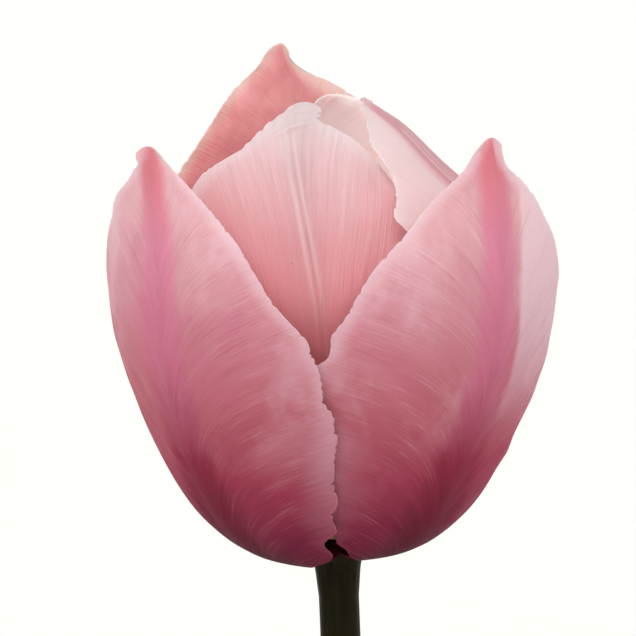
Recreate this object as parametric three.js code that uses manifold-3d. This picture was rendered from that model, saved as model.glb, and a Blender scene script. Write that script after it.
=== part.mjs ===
// One pink tulip standing in water in a plain glazed vase.
// Millimetres, +Z up, origin at the centre of the vase's flat base.
// Azimuth 0 faces -Y and grows towards +X, so a point lies at (sin, -cos) of its azimuth.

import * as THREE from 'three';
import Module from 'manifold-3d';
import { mergeVertices } from 'three/addons/utils/BufferGeometryUtils.js';

const wasm = await Module();
wasm.setup();

// Vase: outer profile from the edge of its base to its lip, wall and floor thickness
const VASE_OUTER = [
  [28, 0], [36, 16], [42, 48], [40, 80], [27, 112], [15.5, 136], [13.6, 152], [16.5, 168],
];
const VASE_WALL = 3.6;
const VASE_FLOOR = 5;
const VASE_STEPS = 18;
const VASE_SIDES = 36;
const WATER_LEVEL = 118;
// The gap between pieces that touch on the real flower
const GAP = 0.35;

// Stem: centre line from its foot on the floor, past the neck that it leans on, to the bloom
const BLOOM = [2, 0, 321];
const STEM_LINE = [[-15, 3, 5.85], [-3.6, 1.5, 73], [6, 0, 140], [6, -0.8, 200], [4.3, -0.9, 262], BLOOM];
const STEM_RADII = [3.3, 3.25, 3.2, 3.15, 3.1, 3.1];
const STEM_SIDES = 12;
const STEM_STEPS = 20;
// The receptacle widens under the lowest tepal and carries the rest round a core: height, radius
const RECEPTACLE = [[-7, 3.2], [-3.2, 3.6], [-1, 4.3], [-0.2, 4.4], [0, 3.55], [6.4, 3.5], [7.2, 2.9]];
const CORE_TOP = 7.2;

// Tepals: the closed bowl they share, as radius and height above the receptacle, for the
// outermost layer. Each further layer lies inward of it by the pitch at the same station.
const BOWL = [
  [3.9, 0.2], [12.8, -0.1], [20.7, 5.6], [26.5, 14.6], [30.6, 24.2], [33.5, 34.2], [34.4, 44.5], [33.2, 54.8],
];
const BOWL_PITCH = [1.05, 1.1, 1.15, 1.2, 1.25, 1.3, 1.3];
const TEPAL_THICKNESS = 0.7;
const TEPAL_ROWS = 24;
const TEPAL_COLUMNS = 10;
// Half widths are given at even steps of a measure that crowds towards the tip by this power
const TIP_POWER = 1.5;
// The corners of a blade's tip lag behind its midrib by this share of its length
const TIP_ROUNDING = 0.014;
const TIP_START = 0.9;
const KEEL_WIDTH = 5;
// Margins run in and out by this much, in two beats along the blade
const RAGGED = 0.35;
const RAGGED_BEATS = [31, 53];

const LEAF_THICKNESS = 0.9;
const LEAF_ROWS = 22;
const LEAF_COLUMNS = 8;
// A leaf's margins also wave out of its surface, out of step with each other
const WAVE_BEAT = 17;
const WAVE_STEP = 2;
// and grow between these shares of its length, above where it clasps the stem
const WAVE_START = 0.15;
const WAVE_FULL = 0.5;

// Pistil: height above the receptacle's top, radius, depth of its three lobes
const PISTIL = [
  [0.3, 1.9, 0], [2, 2.1, 0], [5, 3.1, 0.08], [13, 3.3, 0.1], [19, 2.7, 0.1],
  [21, 2.6, 0.2], [22.5, 4.2, 0.32], [24, 4.4, 0.35], [25, 2.6, 0.3],
];
const PISTIL_SIDES = 18;

// Stamens: six round the pistil, on one collar. Centre line as radius and height, with its radius.
const STAMEN_COUNT = 6;
const STAMEN = [
  [3.3, 0.7, 1], [4.4, 3.5, 0.9], [5.3, 8, 0.75], [5.8, 11, 0.7], [5.9, 12, 1.1],
  [6.1, 14, 1.55], [6.4, 18, 1.6], [6.7, 22, 1.35], [6.8, 23.6, 0.6],
];
const STAMEN_SIDES = 6;
const COLLAR = [[2.5, 0.3], [3.9, 0.3], [3.9, 1.5], [2.5, 1.5]];
const COLLAR_SIDES = 24;

// A smooth curve through evenly spaced knots, read at t from 0 to 1
function along(knots, t) {
  const last = knots.length - 1;
  const place = Math.min(Math.max(t, 0), 1) * last;
  const i = Math.min(Math.floor(place), last - 1);
  const f = place - i;
  const b = knots[i];
  const c = knots[i + 1];
  const a = i > 0 ? knots[i - 1] : 2 * b - c;
  const d = i < last - 1 ? knots[i + 2] : 2 * c - b;
  const square = (2 * a - 5 * b + 4 * c - d) * f ** 2;
  const cube = (3 * b - 3 * c + d - a) * f ** 3;
  return (2 * b + (c - a) * f + square + cube) / 2;
}

function alongPoints(points, t) {
  return points[0].map((_, axis) => along(points.map((point) => point[axis]), t));
}

// The bowl's stations for one layer, each moved inward along the bowl's own normal
function bowl(layer) {
  return BOWL_PITCH.map((pitch, i) => {
    const before = BOWL[Math.max(i - 1, 0)];
    const after = BOWL[i + 1];
    const run = after[0] - before[0];
    const rise = after[1] - before[1];
    const length = Math.hypot(run, rise);
    return [BOWL[i][0] - (layer * pitch * rise) / length, BOWL[i][1] + (layer * pitch * run) / length];
  });
}

// Each tepal: azimuth of its midrib, midrib profile (radius, height), sideways lean of the midrib,
// and for its left and right half the half width and how much flatter than the bowl it curves.
const ROUND = [1, 1];
const OUTER_LEFT = {
  turn: [-48, -48],
  profile: [...bowl(0), [33, 54.4], [30.3, 63.7]],
  lean: [0, 0, 0, 0, 0, 0, 0, -2, -7],
  left: [4.4, 17, 20.5, 25, 28, 22.5, 13.5, 4.8, 1.9],
  right: [4, 11, 20.3, 25, 24.5, 18.5, 12, 6.2, 2.2],
};
const OUTER_RIGHT = {
  turn: [45, 42, 41, 41, 43, 45, 45, 45, 45],
  profile: [...bowl(1), [31.6, 55.4], [29, 65.6]],
  lean: [0, 0, 0, 0, 0, 0, 0, 1, 2],
  left: [4, 10, 20, 26, 27, 22.5, 14.5, 6.5, 1.5],
  right: [4.6, 16.5, 17.5, 18.5, 24, 18, 10, 2.4, 1.4],
};
const OUTER_BACK = {
  turn: [190, 190],
  profile: [...bowl(2), [31, 54.8], [29, 64.3], [27, 73.4]],
  lean: [0, 0, 0, 0, 0, 0, 0, 0, 1, 4],
  left: [5.4, 22, 21, 25, 28, 26, 17, 9, 1.8, 1.2],
  right: [4.2, 16.5, 20, 25, 28, 26, 19.5, 12, 5, 1.6],
};
const INNER_RIGHT = {
  turn: [95, 95, 93, 91, 91, 84, 76, 70, 67, 68, 70],
  profile: [...bowl(3), [23.6, 52.6], [15.9, 59.4], [9.8, 64.8], [3.8, 68.8]],
  keel: [0, 0, 0, 1.2, 2.8, 0.7, 0, 0, 0, 0, 0],
  left: [3.5, 10, 17, 21, 24, 23, 20.5, 13.2, 9.8, 3.5, 0.8],
  leftRound: [1, 1, 1, 1, 1, 1, 1.15, 2.2, 5, 7, 8],
  right: [3.5, 10, 17, 22, 25, 26, 22, 15, 9, 5, 0.8],
  rightRound: [1, 1, 1, 1, 1, 0.95, 0.8, 0.7, 0.7, 0.9, 1],
};
const INNER_FRONT = {
  turn: [-6, -6],
  profile: [...bowl(4), [25.7, 53.3], [20.4, 61.0], [14, 66.4], [6.5, 69.3]],
  lean: [0, 0, 0, 0, 0, 0, -0.5, -1.5, -3, -4, -4],
  left: [3.5, 10, 16, 21, 25, 25, 20, 10.2, 4.8, 1.8, 0.8],
  right: [3.5, 10, 16, 21, 22, 19, 16.5, 10.4, 3.2, 1.2, 0.8],
  rightRound: [1, 1, 1, 1, 1, 0.95, 0.8, 0.65, 0.55, 0.9, 1],
};
const INNER_BACK = {
  turn: [238, 238, 236, 233, 228, 222, 215, 209, 205, 205],
  profile: [...bowl(5), [26, 53], [21.5, 60.5], [17, 66.6]],
  lean: [0, 0, 0, 0, 0, 0, 0, -1, -4, -7],
  left: [3.5, 10, 16, 21, 24, 25, 22, 16, 9, 2],
  right: [3.5, 10, 16, 21, 24, 20, 12, 5.5, 2.5, 2],
};

// Each leaf: where it clasps the stem, then the same measures as a tepal about that point
const LEAF_LOWER = {
  height: 182,
  turn: [-70, -72, -74, -72],
  profile: [[4.6, 0], [5.4, 17], [8.2, 34], [13, 51], [20.5, 67], [29.5, 81.5], [40, 93.5], [51, 102]],
  left: [12, 12, 13.5, 16, 17, 15, 9, 0.8],
  right: [12, 12, 13.5, 16, 17, 15, 9, 0.8],
  leftRound: [1, 1.05, 1.25, 1.25, 1.2, 1.2, 1.3, 1.5],
  rightRound: [1, 1.05, 1.25, 1.25, 1.2, 1.2, 1.3, 1.5],
  wave: 1.3,
};
const LEAF_UPPER = {
  height: 216,
  turn: [112, 112, 108, 104],
  profile: [[4.55, 0], [5, 14], [7, 28], [10.5, 41], [16, 53], [23, 63.5], [31, 72]],
  left: [11.5, 10.5, 10.5, 11, 10.5, 7, 0.8],
  right: [11.5, 10.5, 10.5, 11, 10.5, 7, 0.8],
  leftRound: [1, 1.05, 1.25, 1.25, 1.2, 1.3, 1.5],
  rightRound: [1, 1.05, 1.25, 1.25, 1.2, 1.3, 1.5],
  wave: 0.8,
};

// A point of a blade at v along its midrib and u across it, from -1 at its left margin to 1 at its
// right one. Across, it runs on an arc about a centre that lies behind the midrib by the arc's radius.
function sheetPoint(blade, v, u) {
  const corner = THREE.MathUtils.smoothstep(v, TIP_START, 1);
  const w = Math.max(v - TIP_ROUNDING * corner * u * u, 0);
  const [radius, height] = alongPoints(blade.profile, w);
  const half = along(u < 0 ? blade.left : blade.right, 1 - (1 - v) ** (1 / TIP_POWER));
  const [slow, fast] = RAGGED_BEATS.map((beat) => Math.sin(beat * v + half));
  const across = u * (half + RAGGED * (slow + fast / 2) * Math.min(1, 4 * v * (1 - v)));
  const round = radius * along((u < 0 ? blade.leftRound : blade.rightRound) ?? ROUND, v);
  const keel = along(blade.keel ?? [0, 0], v) * Math.exp(-((across / KEEL_WIDTH) ** 2));
  const beat = Math.sin(WAVE_BEAT * v + (u < 0 ? 0 : WAVE_STEP));
  const wave = (blade.wave ?? 0) * u ** 4 * beat * THREE.MathUtils.smoothstep(v, WAVE_START, WAVE_FULL);
  const out = radius - round + round * Math.cos(across / round) + keel + wave;
  const aside = round * Math.sin(across / round) + along(blade.lean ?? [0, 0], v);
  const turn = THREE.MathUtils.degToRad(along(blade.turn, v));
  return new THREE.Vector3(
    out * Math.sin(turn) + aside * Math.cos(turn),
    -out * Math.cos(turn) + aside * Math.sin(turn),
    height,
  );
}

function sheetNormal(blade, v, u) {
  const step = 0.004;
  const ahead = sheetPoint(blade, Math.min(v + step, 1), u);
  const behind = sheetPoint(blade, Math.max(v - step, 0), u);
  const right = sheetPoint(blade, v, Math.min(u + step, 1));
  const left = sheetPoint(blade, v, Math.max(u - step, -1));
  return right.sub(left).cross(ahead.sub(behind)).normalize();
}

function closedGeometry(positions, triangles) {
  const geometry = new THREE.BufferGeometry();
  geometry.setAttribute('position', new THREE.Float32BufferAttribute(positions, 3));
  geometry.setIndex(triangles);
  geometry.computeVertexNormals();
  return geometry;
}

// A closed blade: its outer face, the inner face one thickness inward, and the rim between them
function bladeGeometry(blade, rows, columns, thickness) {
  const positions = [];
  for (const depth of [0, thickness]) {
    for (let i = 0; i <= rows; i += 1) {
      for (let j = 0; j <= columns; j += 1) {
        const v = i / rows;
        const u = (2 * j) / columns - 1;
        const point = sheetPoint(blade, v, u).addScaledVector(sheetNormal(blade, v, u), -depth);
        positions.push(point.x, point.y, point.z);
      }
    }
  }
  const width = columns + 1;
  const inner = (rows + 1) * width;
  const triangles = [];
  for (let i = 0; i < rows; i += 1) {
    for (let j = 0; j < columns; j += 1) {
      const a = i * width + j;
      const b = a + 1;
      const c = a + width + 1;
      const d = a + width;
      triangles.push(a, b, c, a, c, d);
      triangles.push(inner + a, inner + c, inner + b, inner + a, inner + d, inner + c);
    }
  }
  const rim = [];
  for (let j = 0; j < columns; j += 1) rim.push(j);
  for (let i = 0; i < rows; i += 1) rim.push(i * width + columns);
  for (let j = columns; j > 0; j -= 1) rim.push(rows * width + j);
  for (let i = rows; i > 0; i -= 1) rim.push(i * width);
  rim.forEach((a, k) => {
    const b = rim[(k + 1) % rim.length];
    triangles.push(b, a, inner + a, b, inner + a, inner + b);
  });
  return closedGeometry(positions, triangles);
}

// A closed rod whose cross sections are squared to its centre line, with a radius for each point
function rodGeometry(line, radii, sides) {
  const points = line.map((point) => new THREE.Vector3(...point));
  const positions = [];
  const triangles = [];
  points.forEach((point, i) => {
    const before = points[Math.max(i - 1, 0)];
    const after = points[Math.min(i + 1, points.length - 1)];
    const tangent = after.clone().sub(before).normalize();
    const first = new THREE.Vector3(1, 0, 0).addScaledVector(tangent, -tangent.x).normalize();
    const second = tangent.clone().cross(first);
    for (let j = 0; j < sides; j += 1) {
      const angle = (2 * Math.PI * j) / sides;
      const place = point.clone();
      place.addScaledVector(first, radii[i] * Math.cos(angle));
      place.addScaledVector(second, radii[i] * Math.sin(angle));
      positions.push(place.x, place.y, place.z);
    }
  });
  const foot = points.length * sides;
  positions.push(...points[0].toArray(), ...points[points.length - 1].toArray());
  for (let j = 0; j < sides; j += 1) {
    const next = (j + 1) % sides;
    triangles.push(foot, next, j);
    for (let i = 0; i + 1 < points.length; i += 1) {
      const a = i * sides;
      triangles.push(a + j, a + next, a + sides + next, a + j, a + sides + next, a + sides + j);
    }
    const top = (points.length - 1) * sides;
    triangles.push(foot + 1, top + j, top + next);
  }
  return closedGeometry(positions, triangles);
}

// A closed body of rings round the Z axis, each with three lobes of its own depth
function lobedGeometry(rings, sides, base) {
  const positions = [];
  const triangles = [];
  rings.forEach(([height, radius, lobe]) => {
    for (let j = 0; j < sides; j += 1) {
      const angle = (2 * Math.PI * j) / sides;
      const reach = radius * (1 + lobe * Math.cos(3 * angle));
      positions.push(reach * Math.cos(angle), reach * Math.sin(angle), base + height);
    }
  });
  const foot = rings.length * sides;
  positions.push(0, 0, base + rings[0][0], 0, 0, base + rings[rings.length - 1][0]);
  for (let j = 0; j < sides; j += 1) {
    const next = (j + 1) % sides;
    triangles.push(foot, next, j);
    for (let i = 0; i + 1 < rings.length; i += 1) {
      const a = i * sides;
      triangles.push(a + j, a + next, a + sides + next, a + j, a + sides + next, a + sides + j);
    }
    const top = (rings.length - 1) * sides;
    triangles.push(foot + 1, top + j, top + next);
  }
  return closedGeometry(positions, triangles);
}

// A lathed solid about the Z axis from a profile of radius and height, run anticlockwise
function latheGeometry(profile, sides) {
  const outline = profile.map(([radius, height]) => new THREE.Vector2(radius, height));
  return new THREE.LatheGeometry(outline, sides).rotateX(Math.PI / 2);
}

function toSolid(geometry) {
  const bare = geometry.clone();
  bare.deleteAttribute('normal');
  bare.deleteAttribute('uv');
  const merged = mergeVertices(bare, 1e-4);
  return new wasm.Manifold(new wasm.Mesh({
    numProp: 3,
    vertProperties: new Float32Array(merged.attributes.position.array),
    triVerts: new Uint32Array(merged.index.array),
  }));
}

function fromSolid(solid) {
  const mesh = solid.getMesh();
  return closedGeometry(Array.from(mesh.vertProperties), Array.from(mesh.triVerts));
}

// The vase's profile moved inward by an offset, between two heights
function vaseWall(offset, from, to) {
  const wall = [];
  for (let i = 0; i <= VASE_STEPS; i += 1) {
    const t = i / VASE_STEPS;
    const [radius, height] = alongPoints(VASE_OUTER, t);
    const ahead = alongPoints(VASE_OUTER, Math.min(t + 0.01, 1));
    const behind = alongPoints(VASE_OUTER, Math.max(t - 0.01, 0));
    const run = ahead[0] - behind[0];
    const rise = ahead[1] - behind[1];
    const length = Math.hypot(run, rise);
    const point = [radius - (offset * rise) / length, height + (offset * run) / length];
    if (point[1] > from && point[1] < to) wall.push(point);
  }
  return wall;
}

function vaseRadiusInside(offset, level) {
  const wall = vaseWall(offset, -Infinity, Infinity);
  const i = wall.findIndex(([, height]) => height >= level);
  const share = (level - wall[i - 1][1]) / (wall[i][1] - wall[i - 1][1]);
  return wall[i - 1][0] + share * (wall[i][0] - wall[i - 1][0]);
}

function vaseGeometry() {
  const outer = vaseWall(0, -1, Infinity);
  const inner = vaseWall(VASE_WALL, VASE_FLOOR, Infinity);
  const lipOuter = outer[outer.length - 1];
  const lipInner = inner[inner.length - 1];
  const lip = [(lipOuter[0] + lipInner[0]) / 2, Math.max(lipOuter[1], lipInner[1]) + VASE_WALL / 3];
  const corner = [vaseRadiusInside(VASE_WALL, VASE_FLOOR), VASE_FLOOR];
  return latheGeometry([[0, 0], ...outer, lip, ...inner.reverse(), corner, [0, VASE_FLOOR]], VASE_SIDES);
}

function stemPoints(steps) {
  const points = [];
  for (let i = 0; i <= steps; i += 1) points.push(alongPoints(STEM_LINE, i / steps));
  return points;
}

// The stem's centre at a height, between the two nearest points of its line
function stemAt(height) {
  const points = stemPoints(STEM_STEPS);
  const i = points.findIndex((point) => point[2] > height);
  const share = (height - points[i - 1][2]) / (points[i][2] - points[i - 1][2]);
  return points[i - 1].map((value, axis) => value + share * (points[i][axis] - value));
}

function stemGeometry() {
  const points = stemPoints(STEM_STEPS).slice(0, -1);
  const radii = points.map((_, i) => along(STEM_RADII, i / STEM_STEPS));
  RECEPTACLE.forEach(([height, radius]) => {
    points.push([BLOOM[0], BLOOM[1], BLOOM[2] + height]);
    radii.push(radius);
  });
  return rodGeometry(points, radii, STEM_SIDES);
}

// The water fills the vase up to its level, with a plain hole where the stem stands in it
function waterGeometry() {
  const offset = VASE_WALL + GAP;
  const bottom = VASE_FLOOR + GAP;
  const wall = vaseWall(offset, bottom, WATER_LEVEL);
  const foot = [vaseRadiusInside(offset, bottom), bottom];
  const brim = [vaseRadiusInside(offset, WATER_LEVEL), WATER_LEVEL];
  const body = latheGeometry([[0, bottom], foot, ...wall, brim, [0, WATER_LEVEL]], VASE_SIDES);
  const points = stemPoints(STEM_STEPS);
  const [start, next] = points.map((point) => new THREE.Vector3(...point));
  const below = start.clone().addScaledVector(next.sub(start).normalize(), -3);
  const line = [below.toArray(), ...points];
  const radii = line.map((_, i) => along(STEM_RADII, Math.max(i - 1, 0) / STEM_STEPS) + GAP);
  return fromSolid(toSolid(body).subtract(toSolid(rodGeometry(line, radii, STEM_SIDES))));
}

function stamensGeometry() {
  const collar = [...COLLAR, COLLAR[0]].map(([radius, height]) => [radius, CORE_TOP + height]);
  let solid = toSolid(latheGeometry(collar, COLLAR_SIDES));
  for (let i = 0; i < STAMEN_COUNT; i += 1) {
    const turn = (2 * Math.PI * (i + 0.5)) / STAMEN_COUNT;
    const [x, y] = [Math.cos(turn), Math.sin(turn)];
    const line = STAMEN.map(([reach, height]) => [reach * x, reach * y, CORE_TOP + height]);
    solid = solid.add(toSolid(rodGeometry(line, STAMEN.map((station) => station[2]), STAMEN_SIDES)));
  }
  return fromSolid(solid);
}

// Finishes: sRGB colour and roughness
const FINISHES = {
  glaze: [0xe9e4d8, 0.2],
  water: [0xcfe0e2, 0.05],
  stem: [0x3c4220, 0.55],
  leaf: [0x6f8a5c, 0.55],
  outer_tepal: [0xc9828f, 0.5],
  inner_tepal: [0xdfa9ad, 0.5],
  pistil: [0xb9c27e, 0.5],
  stamen: [0x33222e, 0.7],
};

function addMesh(parent, name, geometry, finish) {
  const [color, roughness] = FINISHES[finish];
  const mesh = new THREE.Mesh(geometry, new THREE.MeshStandardMaterial({ color, roughness, metalness: 0 }));
  mesh.name = name;
  parent.add(mesh);
}

function addLeaf(parent, name, leaf) {
  const clasp = new THREE.Group();
  const [x, y] = stemAt(leaf.height);
  clasp.position.set(x, y, leaf.height);
  addMesh(clasp, name, bladeGeometry(leaf, LEAF_ROWS, LEAF_COLUMNS, LEAF_THICKNESS), 'leaf');
  parent.add(clasp);
}

function addTepal(parent, name, tepal, finish) {
  addMesh(parent, name, bladeGeometry(tepal, TEPAL_ROWS, TEPAL_COLUMNS, TEPAL_THICKNESS), finish);
}

const tulip = new THREE.Group();
addMesh(tulip, 'vase', vaseGeometry(), 'glaze');
addMesh(tulip, 'water', waterGeometry(), 'water');
addMesh(tulip, 'stem', stemGeometry(), 'stem');
addLeaf(tulip, 'leaf_lower', LEAF_LOWER);
addLeaf(tulip, 'leaf_upper', LEAF_UPPER);

const bloom = new THREE.Group();
bloom.position.set(...BLOOM);
tulip.add(bloom);
addTepal(bloom, 'outer_tepal_left', OUTER_LEFT, 'outer_tepal');
addTepal(bloom, 'outer_tepal_right', OUTER_RIGHT, 'outer_tepal');
addTepal(bloom, 'outer_tepal_back', OUTER_BACK, 'outer_tepal');
addTepal(bloom, 'inner_tepal_right', INNER_RIGHT, 'inner_tepal');
addTepal(bloom, 'inner_tepal_front', INNER_FRONT, 'inner_tepal');
addTepal(bloom, 'inner_tepal_back', INNER_BACK, 'inner_tepal');
addMesh(bloom, 'pistil', lobedGeometry(PISTIL, PISTIL_SIDES, CORE_TOP), 'pistil');
addMesh(bloom, 'stamens', stamensGeometry(), 'stamen');

export default tulip;
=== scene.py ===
"""A pink tulip standing in water in a plain glazed vase, dressed piece by piece on its solid model.

Lengths in the shape tables are millimetres and become metres as each mesh is made. Azimuth 0
faces -Y and grows towards +X, so a point at an azimuth lies along (sin, -cos).
"""

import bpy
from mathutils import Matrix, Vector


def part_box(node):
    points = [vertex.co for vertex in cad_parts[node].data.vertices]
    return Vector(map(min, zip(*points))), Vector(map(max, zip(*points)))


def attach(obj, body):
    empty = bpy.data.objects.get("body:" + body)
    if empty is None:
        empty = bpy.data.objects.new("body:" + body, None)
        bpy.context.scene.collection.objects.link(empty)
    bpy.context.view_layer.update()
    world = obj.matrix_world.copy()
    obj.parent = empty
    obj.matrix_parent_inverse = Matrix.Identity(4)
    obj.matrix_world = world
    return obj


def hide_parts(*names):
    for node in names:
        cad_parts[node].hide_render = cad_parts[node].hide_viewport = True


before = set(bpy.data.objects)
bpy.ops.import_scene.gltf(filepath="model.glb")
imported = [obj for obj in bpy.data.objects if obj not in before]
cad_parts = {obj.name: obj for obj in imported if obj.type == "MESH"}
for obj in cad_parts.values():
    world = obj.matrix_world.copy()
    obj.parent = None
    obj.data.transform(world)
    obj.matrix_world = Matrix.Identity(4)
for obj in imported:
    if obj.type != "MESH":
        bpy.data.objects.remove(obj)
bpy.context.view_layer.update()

import math

import bpy
import numpy as np
from mathutils import Vector

bl_info = {
    "name": "Tulip in a vase",
    "version": (1, 0, 0),
    "blender": (4, 5, 0),
    "location": "3D View > Sidebar > Tulip",
    "description": "Builds a pink tulip, its leaves, its vase and a plain stage round a solid model",
    "category": "Add Mesh",
}

MM = 0.001

# Where the bloom sits: the receptacle's centre, under the core that ends the stem
CORE_TOP = 7.2
BLOOM = np.array([2, 0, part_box("stem")[1].z / MM - CORE_TOP])

# The bowl that the tepals share, as radius and height above the receptacle, for the outermost
# layer; each further layer lies inward of it by the pitch at the same station
BOWL = np.array([
    [3.9, 0.2], [12.8, -0.1], [20.7, 5.6], [26.5, 14.6],
    [30.6, 24.2], [33.5, 34.2], [34.4, 44.5], [33.2, 54.8],
])
BOWL_PITCH = np.array([1.05, 1.1, 1.15, 1.2, 1.25, 1.3, 1.3])
# A blade's half widths are read at 1 - (1 - v)^(1 / power), which crowds them towards its tip
TIP_POWER = 1.5
# The corners of a tip lag behind its midrib by this share of the length, from the start on
TIP_ROUNDING = 0.014
TIP_START = 0.9
KEEL_WIDTH = 5
# How far a margin wanders in and out in mm, and its slow and fast beats
RAGGED = 0.35
RAGGED_BEATS = (31, 53)
# Waves of a leaf's margins: beat, step between the sides, and where they begin and are full
WAVE_BEAT = 17
WAVE_STEP = 2
WAVE_START = 0.15
WAVE_FULL = 0.5
# The share of its length over which a leaf's foot draws in
CLASP_REACH = 0.02


def bowl(layer):
    """The bowl's stations for one layer: each moved inward along the bowl's normal by its pitch."""
    ahead = BOWL[1:]
    behind = BOWL[[0, *range(len(BOWL_PITCH) - 1)]]
    run = (ahead - behind) / np.linalg.norm(ahead - behind, axis=1, keepdims=True)
    normal = np.stack([-run[:, 1], run[:, 0]], axis=1)
    return (BOWL[:-1] + layer * BOWL_PITCH[:, None] * normal).tolist()


# Each tepal: azimuth of its midrib, midrib profile (radius, height), sideways lean of the midrib,
# half widths to the left and right and how much flatter than the bowl each half curves. Side -1
# is its left and 1 its right. Bites out of a margin are side, place and width along the tepal, and
# depth in mm, below 0 where the margin stands out. Glow is the side and width in mm of a broad
# pale margin half way up, torn how deep the small tears are, pale is the share of the pale colour
# on one half, and mauveRight the share of the painted shade on the right half past the fold.
OUTER_TEPALS = {
    "outer_tepal_left": {
        "turn": [-48, -48],
        "profile": [*bowl(0), [33, 54.4], [30.3, 63.7]],
        "lean": [0, 0, 0, 0, 0, 0, 0, -2, -7],
        "left": [4.4, 17, 20.5, 25, 28, 22.5, 13.5, 4.8, 2.4],
        "right": [4, 11.6, 20.6, 25, 24.6, 18.5, 12, 6.4, 2.7],
        "bites": [
            (1, 0.12, 0.045, 3.6), (1, 0.2, 0.03, -1.8), (1, 0.3, 0.05, -0.8), (1, 0.51, 0.02, -0.4),
            (1, 0.546, 0.02, -1.2), (1, 0.69, 0.025, -0.6), (-1, 0.974, 0.008, 0.8),
        ],
        "glow": [1, 4.5],
        "torn": 1.2,
        "seed": 3,
    },
    "outer_tepal_right": {
        "turn": [45, 42, 41, 41, 43, 45, 45, 45, 45],
        "profile": [*bowl(1), [31.6, 55.4], [29, 65.6]],
        "lean": [0, 0, 0, 0, 0, 0, 0, 1, 2],
        "left": [4, 10, 22, 28, 27, 22.5, 14.5, 6.5, 2.6],
        "right": [4.6, 16.5, 17.5, 18.5, 24, 18, 10, 2.7, 1.8],
        "bites": [
            (-1, 0.12, 0.045, 2.2), (-1, 0.6, 0.03, -1.4), (-1, 0.632, 0.01, -1), (-1, 0.69, 0.025, -0.9),
        ],
        "glow": [-1, 9],
        "paleRight": 0.95,
        "seed": 8,
    },
    "outer_tepal_back": {
        "turn": [190, 190],
        "profile": [*bowl(2), [31, 54.8], [29, 64.3], [27, 73.4]],
        "lean": [0, 0, 0, 0, 0, 0, 0, 0, 1, 4],
        "left": [5.4, 22, 21, 25, 28, 26, 17, 9, 1.8, 1.2],
        "right": [4.2, 16.5, 20, 25, 28, 26, 19.5, 12, 5, 1.6],
        "seed": 12,
    },
}
INNER_TEPALS = {
    "inner_tepal_right": {
        "turn": [95, 95, 93, 91, 91, 84, 76, 70, 67, 68, 70],
        "profile": [*bowl(3), [23.6, 52.6], [15.9, 59.4], [9.8, 64.8], [3.8, 68.8]],
        "keel": [0, 0, 0, 1.2, 2.8, 0.7, 0, 0, 0, 0, 0],
        "left": [3.5, 10, 17, 21, 24, 23, 20.5, 13.2, 9.8, 4, 1.8],
        "leftRound": [1, 1, 1, 1, 1, 1, 1.15, 2.2, 5, 7, 8],
        "right": [3.5, 10, 17, 22, 25, 26, 22, 15, 8.4, 3, 0.8],
        "rightRound": [1, 1, 1, 1, 1, 0.95, 0.8, 0.7, 0.7, 0.9, 1],
        "bites": [
            (-1, 0.8, 0.035, 2.5), (-1, 0.735, 0.018, -1), (-1, 0.91, 0.012, 0.6), (-1, 0.765, 0.007, 0.5),
        ],
        "paleLeft": 0.8,
        "mauveRight": 0.8,
        "torn": 1.7,
        "seed": 17,
    },
    "inner_tepal_front": {
        "turn": [-6, -6],
        "profile": [*bowl(4), [25.7, 53.3], [20.4, 61], [14, 66.4], [6.5, 69.3]],
        "lean": [0, 0, 0, 0, 0, 0, -0.5, -1.5, -3, -4, -4],
        "left": [3.5, 10, 16, 21, 25, 25, 20, 10.2, 5, 3, 2.2],
        "right": [3.5, 10, 16, 21, 22, 19, 16.5, 10.4, 3.6, 2.8, 2],
        "rightRound": [1, 1, 1, 1, 1, 0.95, 0.8, 0.65, 0.55, 0.9, 1],
        "crease": [1, 1, 1, 1, 1, 0.95, 0.6, -0.5, -1.15, -1.5, -1.4],
        "bites": [(1, 0.915, 0.007, 0.7), (1, 0.945, 0.006, 0.9), (1, 0.968, 0.005, 0.8)],
        "torn": 1.6,
        "seed": 24,
    },
    "inner_tepal_back": {
        "turn": [238, 238, 236, 233, 228, 222, 215, 209, 205, 205],
        "profile": [*bowl(5), [26, 53], [21.5, 60.5], [17, 66.6]],
        "lean": [0, 0, 0, 0, 0, 0, 0, -1, -4, -7],
        "left": [3.5, 10, 16, 21, 24, 25, 22, 16, 9, 2],
        "right": [3.5, 10, 16, 21, 24, 20, 12, 5.5, 2.5, 2],
        "torn": 1.7,
        "seed": 31,
    },
}


def even(widths, roundness):
    """The widths and roundness of a blade whose two halves are alike."""
    return {"left": widths, "right": widths, "leftRound": roundness, "rightRound": roundness}


# Each leaf: as a tepal, with the height where it leaves the stem, the depth of its waves in mm and
# how far its foot draws in to clasp the stem, in mm
LEAVES = {
    "leaf_lower": {
        "height": 182,
        "turn": [-70, -72, -74, -72],
        "profile": [
            [4.6, 0], [5.4, 17], [8.2, 34], [13, 51], [20.5, 67], [29.5, 81.5], [40, 93.5], [51, 102],
        ],
        **even([12, 12, 13.5, 16, 17, 15, 9, 0.8], [1, 1.05, 1.25, 1.25, 1.2, 1.2, 1.3, 1.5]),
        "wave": 1.3,
        "clasp": 1,
        "torn": 0.15,
        "seed": 41,
    },
    "leaf_upper": {
        "height": 216,
        "turn": [112, 112, 108, 104],
        "profile": [[4.55, 0], [5, 14], [7, 28], [10.5, 41], [16, 53], [23, 63.5], [31, 72]],
        **even([11.5, 10.5, 10.5, 11, 10.5, 7, 0.8], [1, 1.05, 1.25, 1.25, 1.2, 1.3, 1.5]),
        "wave": 0.8,
        "clasp": 1,
        "torn": 0.15,
        "seed": 47,
    },
}
# Rows along a blade and columns across it
TEPAL_GRID = (400, 72)
LEAF_GRID = (240, 48)
# Columns crowd towards the midrib and the margins by this share
CROWDING = 0.11
# Lobes along one margin between small tears, the range of their lengths, and the shares of a lobe
# over which a tear closes above its nick and below it
LOBES = 76
LOBE_LENGTHS = (0.4, 1.6)
TEAR_ABOVE = 0.35
TEAR_BELOW = 0.06
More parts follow.
